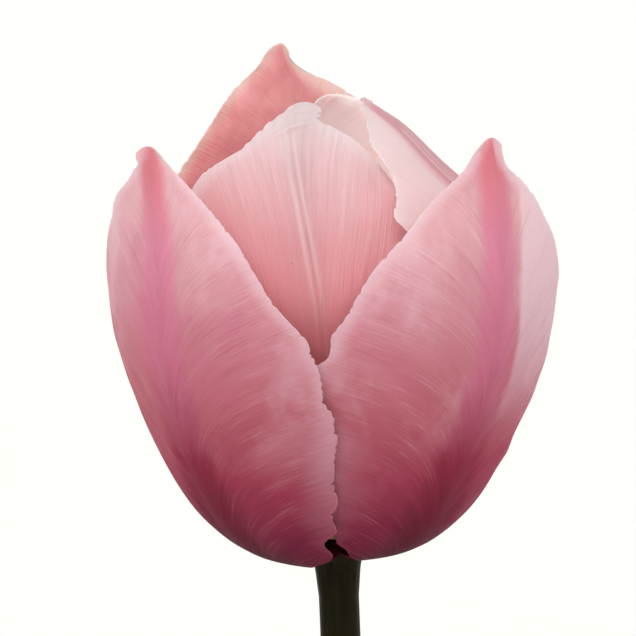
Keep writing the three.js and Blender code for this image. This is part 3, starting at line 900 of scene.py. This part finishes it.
def outer_tepal_material(name, tones, shape):
    """Outer tepal: deep rose foot under painted shade, feathered veins, magenta midrib band, pale margins.
    """
    shade = TepalShade(name, OUTER_ARCH, shape["seed"])
    rise, fall = shade.rise, shade.fall
    v, across, cloud, streak = shade.v, shade.across, shade.cloud, shade.streak
    # These ramps darken towards the foot: the real deep rose there, deepened with painted shade
    outside = shade.ramp(
        shade.level, (0.12, tones.outer_foot_and_shade), (0.25, tones.outer_dark), (0.4, tones.outer_low),
        (0.55, tones.outer_mid), (0.7, tones.outer_upper), (0.88, tones.outer_high))
    margin = shade.ramp(
        shade.level, (0.2, tones.margin_low), (0.5, tones.margin_mid), (0.88, tones.margin_high))
    band = shade.ramp(
        shade.level, (0.12, tones.band_foot_and_shade), (0.42, tones.band_low), (0.6, tones.band_mid),
        (0.82, tones.band_upper), (0.97, tones.band_tip))
    right = rise(across - 4 + (cloud - 0.5) * 2, 0.0, 1.5) * rise(v, 0.4, 0.7)
    reach = abs(across + 0.5) / (2.8 + 5 * (1 - v)) + streak * 0.3
    side, spread = shape.get("glow", [1, 0])
    glow = rise(v, 0.22, 0.36) * fall(v, 0.45, 0.6) * rise(across * side, 0.0, 1.0)
    frost = shade.edge / (0.5 + 2.8 * v + glow * spread) + streak * 0.4 + (cloud - 0.5) * 1.2
    outside = shade.layers(
        outside,
        (margin, right * shape.get("paleRight", 0.0)),
        (margin, rise(streak, 0.05, 0.8) * 0.42),
        (tones.outer_low, rise(0 - streak, 0.05, 0.8) * 0.3),
        (margin, rise(cloud, 0.5, 0.66) * rise(v, 0.35, 0.6) * 0.35),
        (tones.band_mid, fall(cloud, 0.34, 0.48) * rise(v, 0.3, 0.5) * 0.3),
        (band, fall(reach, 0.45, 1.3) * 0.85),
        (margin, fall(frost, 0.0, 1.2) * rise(v, 0.1, 0.5) * 0.7),
    )
    lining_tones = (tones.coral_low, tones.coral_high, tones.coral_margin)
    return shade.finish(outside, lining_tones, tones, tones.outer_foot_and_shade, OUTER_CLAW, OUTER_PAINTED_GLOW)


def inner_tepal_material(name, tones, shape):
    """Finish of an inner tepal: steep veins, a pale crease, a pale flank and paler margins."""
    shade = TepalShade(name, INNER_ARCH, shape["seed"])
    rise, fall = shade.rise, shade.fall
    v, across, cloud, streak = shade.v, shade.across, shade.cloud, shade.streak
    outside = shade.ramp(
        shade.level, (0.12, tones.outer_dark), (0.35, tones.inner_low), (0.53, tones.inner_mid),
        (0.69, tones.inner_upper), (0.88, tones.inner_high), (0.95, tones.inner_pale))
    blotch = streak * 0.5 + (cloud - 0.5) * 1.2
    flank = fall(across + 3.4 + (cloud - 0.5) * 2, -1.0, 1.0)
    # Painted shade laid on the right inner tepal's half past its fold
    shaded_half = rise(across + 2.6 + streak * 0.5, 0.0, 1.2)
    frost = shade.edge / (0.5 + 3.8 * v) + (cloud - 0.5) * 1.8
    outside = shade.layers(
        outside,
        (tones.inner_pale, rise(blotch, 0.05, 0.7) * 0.3),
        (tones.inner_mid, rise(0 - blotch, 0.05, 0.7) * 0.2),
        (tones.inner_pale, flank * shape.get("paleLeft", 0.0)),
        (tones.mauve_painted_shade, shaded_half * shape.get("mauveRight", 0.0)),
        # The crease's pale lines, and the painted highlight on the lip's edge
        (tones.crease, shade.number("crease") * 0.45),
        (tones.inner_pale, fall(frost, 0.0, 1.2) * rise(v, 0.1, 0.5) * 0.75),
    )
    lining_tones = (tones.blush_low, tones.blush_high, tones.blush_margin)
    return shade.finish(outside, lining_tones, tones, tones.attachment, INNER_CLAW, INNER_PAINTED_GLOW)


def leaf_material(tones):
    """Finish of a leaf: parallel veins under a pale bloom, paler along the midrib and margins."""
    shade = Shade("leaf_green")
    v = shade.number("along")
    across = shade.number("across")
    edge = shade.number("edge")
    cloud = shade.grain(*LEAF_CLOUD)
    lines = shade.noise(shade.vector(across * 2.6, v * 3, 0.0), 3, 0.6)
    bloom = shade.rise(lines * 0.6 + cloud * 0.4, 0.36, 0.62)
    pale = shade.fall(abs(across), 0.2, 1.4) * 0.35 + shade.fall(edge, 0.1, 0.7) * 0.4
    tone = shade.layers(tones.leaf_dark, (tones.leaf_light, bloom), (tones.leaf_pale, pale))
    return shade.surface(tone, 0.5 + (cloud - 0.5) * 0.2, shade.bump(lines, LEAF_RELIEF),
                         Specular_IOR_Level=0.35, Subsurface_Weight=0.06, Subsurface_Scale=0.001)


def stem_material(tones):
    """Finish of the stem: fine streaks along it, and the bloom's shadow painted dark olive at its top."""
    shade = Shade("stem_green")
    lines = shade.grain(*STEM_LINES)
    cloud = shade.grain(*STEM_CLOUD)
    top = BLOOM[2] * MM
    # Painted shadow of the bloom over the top of the stem
    shadow = shade.rise(shade.z + (cloud - 0.5) * 0.03, top - 0.09, top - 0.02)
    streaks = shade.fall(lines * 0.6 + cloud * 0.4, 0.36, 0.6) * (0.4 - 0.3 * shadow)
    tone = shade.layers(tones.stem_low, (tones.stem_painted_shade, shadow), (darker(tones.stem_low, 0.45), streaks))
    return shade.surface(tone, 0.5 + (cloud - 0.5) * 0.2, shade.bump(lines, STEM_RELIEF),
                         Specular_IOR_Level=0.04)


def glaze_material(tones):
    """Finish of the vase: a soft glaze that pools and thins a little, and a bare clay foot."""
    shade = Shade("vase_glaze")
    cloud = shade.grain(*GLAZE_CLOUD)
    foot = shade.fall(shade.z + (cloud - 0.5) * 0.0016, 0.0016, 0.0024)
    tone = shade.layers(
        tones.glaze,
        (darker(tones.glaze, 0.93), shade.rise(cloud, 0.35, 0.7)),
        (tones.clay, shade.rise(shade.grain(*GLAZE_FLECKS), 0.7, 0.76) * 0.35),
        (tones.clay, foot),
    )
    normal = shade.bump(shade.grain(*GLAZE_RINGS) + cloud * 0.5, GLAZE_RELIEF)
    return shade.surface(tone, 0.16 + cloud * 0.06 + foot * 0.6, normal, Specular_IOR_Level=0.5)


def water_material(tones):
    """Finish of the water: clear, barely tinted, with a still and very slightly uneven surface."""
    shade = Shade("clear_water")
    ripple = shade.grain(*WATER_RIPPLE)
    tint = shade.mix(tones.water, (1.0, 1.0, 1.0), ripple)
    return shade.surface(tint, 0.02 + ripple * 0.02, shade.bump(ripple, WATER_RELIEF),
                         Transmission_Weight=0.9, IOR=1.333)


def pistil_material(tones):
    """Finish of the pistil: a smooth green ovary under cream, velvety lobes."""
    shade = Shade("pistil_green")
    grain = shade.grain(*PISTIL_GRAIN)
    cloud = shade.grain(*PISTIL_CLOUD)
    top = (BLOOM[2] + CORE_TOP + STIGMA_FOOT) * MM
    lobes = shade.rise(shade.z, top, top + 0.0015)
    shadow = shade.rise(cloud, 0.35, 0.65)
    tone = shade.layers(tones.ovary, (darker(tones.ovary, 0.8), shadow), (tones.stigma, lobes))
    normal = shade.bump(grain * lobes + cloud * 0.3, PISTIL_RELIEF)
    return shade.surface(tone, 0.45 + lobes * 0.3, normal, Specular_IOR_Level=0.35)


def stamen_material(tones):
    """Finish of the stamens: dark stalks and matt heads dusted with pollen."""
    shade = Shade("stamen_dark")
    grain = shade.grain(*STAMEN_GRAIN)
    top = (BLOOM[2] + CORE_TOP + ANTHER_FOOT) * MM
    head = shade.rise(shade.z, top, top + 0.001)
    dust = shade.rise(grain, 0.56, 0.7) * head * 0.7
    tone = shade.layers(tones.filament, (tones.anther, head), (tones.pollen, dust))
    normal = shade.bump(grain, STAMEN_RELIEF)
    return shade.surface(tone, 0.5 + head * 0.35, normal, Specular_IOR_Level=0.25)


def add_tepals(scene, group, finish):
    """Makes a group of tepals, each with its own material of one finish."""
    sizes = scene.tulip_sizes
    for name, shape in group.items():
        mesh = tepal_mesh(name, shape, sizes, sizes.tepal_thickness, TEPAL_GRID, BLOOM)
        make_piece(name, mesh, finish(f"{name}_skin", scene.tulip_colours, shape))


class TULIP_OT_outer_tepals(bpy.types.Operator):
    """Adds the three outer tepals"""

    bl_idname = "tulip.outer_tepals"
    bl_label = "Outer tepals"

    def execute(self, context):
        add_tepals(context.scene, OUTER_TEPALS, outer_tepal_material)
        return {"FINISHED"}


class TULIP_OT_inner_tepals(bpy.types.Operator):
    """Adds the three inner tepals"""

    bl_idname = "tulip.inner_tepals"
    bl_label = "Inner tepals"

    def execute(self, context):
        add_tepals(context.scene, INNER_TEPALS, inner_tepal_material)
        return {"FINISHED"}


class TULIP_OT_stem(bpy.types.Operator):
    """Adds the stem, which widens into the receptacle under the tepals"""

    bl_idname = "tulip.stem"
    bl_label = "Stem"

    def execute(self, context):
        t = np.linspace(0, 1, STEM_ROWS)[:-1]
        rise = np.linspace(0, 1, RECEPTACLE_ROWS)
        top = along(RECEPTACLE, rise)
        line = along(STEM_LINE, t)
        lean = [np.interp(top[:, 0] + BLOOM[2], line[:, 2], line[:, axis]) for axis in range(2)]
        line = np.concatenate([line, np.stack([*lean, BLOOM[2] + top[:, 0]], axis=1)])
        low = line[:, 2] < BLOOM[2] + RECEPTACLE[0][0]
        keep = np.concatenate([low[:len(t)], np.ones(len(rise), bool)])
        radii = np.concatenate([along(STEM_RADII, t), top[:, 1]])[keep]
        line = line[keep]
        angle = np.linspace(0, 2 * np.pi, STEM_SIDES, endpoint=False)
        ribs = 1 + STEM_RIB * np.cos(STEM_RIBS * angle + line[:, 2:] / STEM_TWIST) - STEM_RIB
        points, faces = closed_rings(tube(line, radii[:, None] * ribs, STEM_SIDES))
        mesh = make_mesh("stem", points, faces)
        make_piece("stem", mesh, stem_material(context.scene.tulip_colours))
        return {"FINISHED"}


class TULIP_OT_leaves(bpy.types.Operator):
    """Adds the two leaves that clasp the stem"""

    bl_idname = "tulip.leaves"
    bl_label = "Leaves"

    def execute(self, context):
        sizes = context.scene.tulip_sizes
        material = leaf_material(context.scene.tulip_colours)
        line = along(STEM_LINE, np.linspace(0, 1, STEM_ROWS))
        for name, shape in LEAVES.items():
            foot = [np.interp(shape["height"], line[:, 2], line[:, axis]) for axis in range(3)]
            mesh = tepal_mesh(name, shape, sizes, sizes.leaf_thickness, LEAF_GRID, foot)
            make_piece(name, mesh, material)
        return {"FINISHED"}


class TULIP_OT_vase(bpy.types.Operator):
    """Adds the glazed vase, open at its mouth"""

    bl_idname = "tulip.vase"
    bl_label = "Vase"

    def execute(self, context):
        t = np.linspace(0, 1, VASE_ROWS)
        outer = along(VASE_OUTER, t)
        run = np.gradient(outer, axis=0)
        run /= np.linalg.norm(run, axis=1, keepdims=True)
        inner = outer - VASE_WALL * np.stack([run[:, 1], -run[:, 0]], axis=1)
        inner = inner[inner[:, 1] > VASE_FLOOR + 1]
        middle = (outer[-1] + inner[-1]) / 2
        across = (outer[-1] - inner[-1]) / 2
        upward = np.array([-across[1], across[0]])
        angle = np.linspace(0, np.pi, LIP_STEPS)[1:-1, None]
        lip = middle + across * np.cos(angle) + upward * np.sin(angle) * LIP_RISE
        corner = [inner[0][0] - COVE[0], VASE_FLOOR + COVE[1]]
        floor = [corner, [inner[0][0] / 2, VASE_FLOOR], [SMALL_RING, VASE_FLOOR]]
        foot = [[SMALL_RING, 0], [outer[0][0] - FOOT_EDGE, 0]]
        profile = np.concatenate([foot, outer[1:], lip, inner[::-1], floor])
        points, faces = closed_rings(lathe(profile, VASE_SIDES))
        mesh = make_mesh("vase", points, faces)
        make_piece("vase", mesh, glaze_material(context.scene.tulip_colours))
        return {"FINISHED"}


class TULIP_OT_water(bpy.types.Operator):
    """Gives the water that stands in the vase its finish"""

    bl_idname = "tulip.water"
    bl_label = "Water"

    def execute(self, context):
        material = water_material(context.scene.tulip_colours)
        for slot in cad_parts["water"].material_slots:
            slot.material = material
        return {"FINISHED"}


class TULIP_OT_pistil(bpy.types.Operator):
    """Adds the three-sided pistil with its lobed stigma"""

    bl_idname = "tulip.pistil"
    bl_label = "Pistil"

    def execute(self, context):
        height, radius, lobe = along(PISTIL, np.linspace(0, 1, PISTIL_ROWS)).T
        angle = np.linspace(0, 2 * np.pi, PISTIL_SIDES, endpoint=False)
        ruffle = RUFFLE_DEPTH * smooth(height, STIGMA_FOOT, 22)[:, None] * np.cos(RUFFLES * angle)
        reach = radius[:, None] * (1 + lobe[:, None] * np.cos(3 * angle) + ruffle)
        up = np.repeat((CORE_TOP + height)[:, None], len(angle), axis=1)
        rings = np.stack([reach * np.cos(angle), reach * np.sin(angle), up], axis=-1)
        points, faces = closed_rings(rings + BLOOM)
        mesh = make_mesh("pistil", points, faces)
        make_piece("pistil", mesh, pistil_material(context.scene.tulip_colours))
        return {"FINISHED"}


class TULIP_OT_stamens(bpy.types.Operator):
    """Adds the six stamens round the pistil, on the thin ring at their feet"""

    bl_idname = "tulip.stamens"
    bl_label = "Stamens"

    def execute(self, context):
        reach, height, radius = along(STAMEN, np.linspace(0, 1, STAMEN_ROWS)).T
        around = np.linspace(0, 2 * np.pi, STAMEN_SIDES, endpoint=False)
        flat = 1 - ANTHER_FLATNESS * smooth(height, 11, 13)[:, None] * np.cos(2 * around) ** 2
        ring = lathe(np.array([*COLLAR, COLLAR[0]])[::-1] + [0, CORE_TOP], COLLAR_SIDES)
        all_points = [ring.reshape(-1, 3)]
        all_faces = [quads(len(ring), ring.shape[1], True)[:, ::-1]]
        count = len(all_points[0])
        for turn in 2 * np.pi * (np.arange(STAMEN_COUNT) + 0.5) / STAMEN_COUNT:
            line = np.stack([reach * np.cos(turn), reach * np.sin(turn), CORE_TOP + height], axis=1)
            points, faces = closed_rings(tube(line, radius[:, None] * flat, len(around)))
            all_points.append(points)
            all_faces += [part + count for part in faces]
            count += len(points)
        mesh = make_mesh("stamens", np.concatenate(all_points) + BLOOM, all_faces)
        make_piece("stamens", mesh, stamen_material(context.scene.tulip_colours))
        return {"FINISHED"}


def add_floor(sizes, tones):
    """A round pale floor that sweeps up into a wall, so that no horizon shows.

    Its profile is level out to the floor's radius, then a quarter of an ellipse up the wall.
    """
    angle = np.linspace(0, np.pi / 2, FLOOR_STEPS)
    rim = sizes.floor_radius / MM
    tall = sizes.wall_height / MM
    curve = np.stack([rim + tall * np.sin(angle), tall * (1 - np.cos(angle))], axis=1)
    rings = lathe(np.concatenate([[[1, 0]], curve]), FLOOR_SIDES)
    points = np.concatenate([rings.reshape(-1, 3), [[0, 0, 0]]])
    j = np.arange(FLOOR_SIDES)
    fan = np.stack([np.full(FLOOR_SIDES, len(points) - 1), j, (j + 1) % FLOOR_SIDES], axis=1)
    mesh = make_mesh("floor", points, [quads(len(rings), FLOOR_SIDES, True)[:, ::-1], fan])
    shade = Shade("pale_floor")
    tone = shade.mix(tones.floor, darker(tones.floor, 0.98), shade.grain(*FLOOR_GRAIN))
    mesh.materials.append(shade.surface(tone, 0.9, Specular_IOR_Level=0.1))
    floor = bpy.data.objects.new("floor", mesh)
    bpy.context.scene.collection.objects.link(floor)


def add_sun(name, direction, strength, spread):
    """A soft light from far away: where it comes from, its strength and its angular size."""
    light = bpy.data.lights.new(name, "SUN")
    light.energy = strength
    light.angle = math.radians(spread)
    lamp = bpy.data.objects.new(name, light)
    lamp.rotation_mode = "QUATERNION"
    lamp.rotation_quaternion = Vector(direction).to_track_quat("Z", "Y")
    bpy.context.scene.collection.objects.link(lamp)


def add_camera():
    """The photograph's view of the bloom, whose receptacle lies on the photograph's own pixel."""
    centre = PHOTO_SIZE / 2
    aside = (centre - RECEPTACLE_PIXEL[0]) * MM_PER_PIXEL
    above = (RECEPTACLE_PIXEL[1] - centre) * MM_PER_PIXEL / math.cos(CAMERA_ELEVATION)
    target = Vector(BLOOM) + Vector((aside, 0, above))
    back = Vector((0, -math.cos(CAMERA_ELEVATION), math.sin(CAMERA_ELEVATION)))
    data = bpy.data.cameras.new("camera")
    data.sensor_width = SENSOR
    data.lens = SENSOR * CAMERA_DISTANCE / MM_PER_PIXEL / PHOTO_SIZE
    data.clip_start = 0.01
    data.clip_end = 100
    camera = bpy.data.objects.new("camera", data)
    camera.location = (target + back * CAMERA_DISTANCE) * MM
    camera.rotation_mode = "QUATERNION"
    camera.rotation_quaternion = back.to_track_quat("Z", "Y")
    bpy.context.scene.collection.objects.link(camera)
    bpy.context.scene.camera = camera


class TULIP_OT_stage(bpy.types.Operator):
    """Adds the floor, the lights and the camera"""

    bl_idname = "tulip.stage"
    bl_label = "Stage"

    def execute(self, context):
        scene = context.scene
        add_floor(scene.tulip_sizes, scene.tulip_colours)
        add_sun("key_light", *KEY_LIGHT)
        add_sun("fill_light", *FILL_LIGHT)
        world = bpy.data.worlds.new("pale_sky")
        world.use_nodes = True
        sky = world.node_tree.nodes["Background"].inputs
        sky["Color"].default_value = opaque(SKY_TONE)
        sky["Strength"].default_value = SKY_STRENGTH
        scene.world = world
        scene.view_settings.view_transform = "Standard"
        add_camera()
        return {"FINISHED"}


OPERATORS = (
    TULIP_OT_stage,
    TULIP_OT_vase,
    TULIP_OT_water,
    TULIP_OT_stem,
    TULIP_OT_leaves,
    TULIP_OT_outer_tepals,
    TULIP_OT_inner_tepals,
    TULIP_OT_pistil,
    TULIP_OT_stamens,
)


class VIEW3D_PT_tulip(bpy.types.Panel):
    """Lists what builds the tulip, and its settings"""

    bl_label = "Tulip"
    bl_space_type = "VIEW_3D"
    bl_region_type = "UI"
    bl_category = "Tulip"

    def draw(self, context):
        for operator in OPERATORS:
            self.layout.operator(operator.bl_idname)
        for group in (context.scene.tulip_sizes, context.scene.tulip_colours):
            for name in group.__annotations__:
                self.layout.prop(group, name)


CLASSES = (TulipSizes, TulipColours, *OPERATORS, VIEW3D_PT_tulip)


def register():
    for item in CLASSES:
        bpy.utils.register_class(item)
    bpy.types.Scene.tulip_sizes = bpy.props.PointerProperty(type=TulipSizes)
    bpy.types.Scene.tulip_colours = bpy.props.PointerProperty(type=TulipColours)


def unregister():
    del bpy.types.Scene.tulip_colours
    del bpy.types.Scene.tulip_sizes
    for item in reversed(CLASSES):
        bpy.utils.unregister_class(item)


def main():
    """Builds everything in order."""
    register()
    for operator in OPERATORS:
        getattr(bpy.ops.tulip, operator.bl_idname.split(".")[1])()


if __name__ == "__main__":
    main()
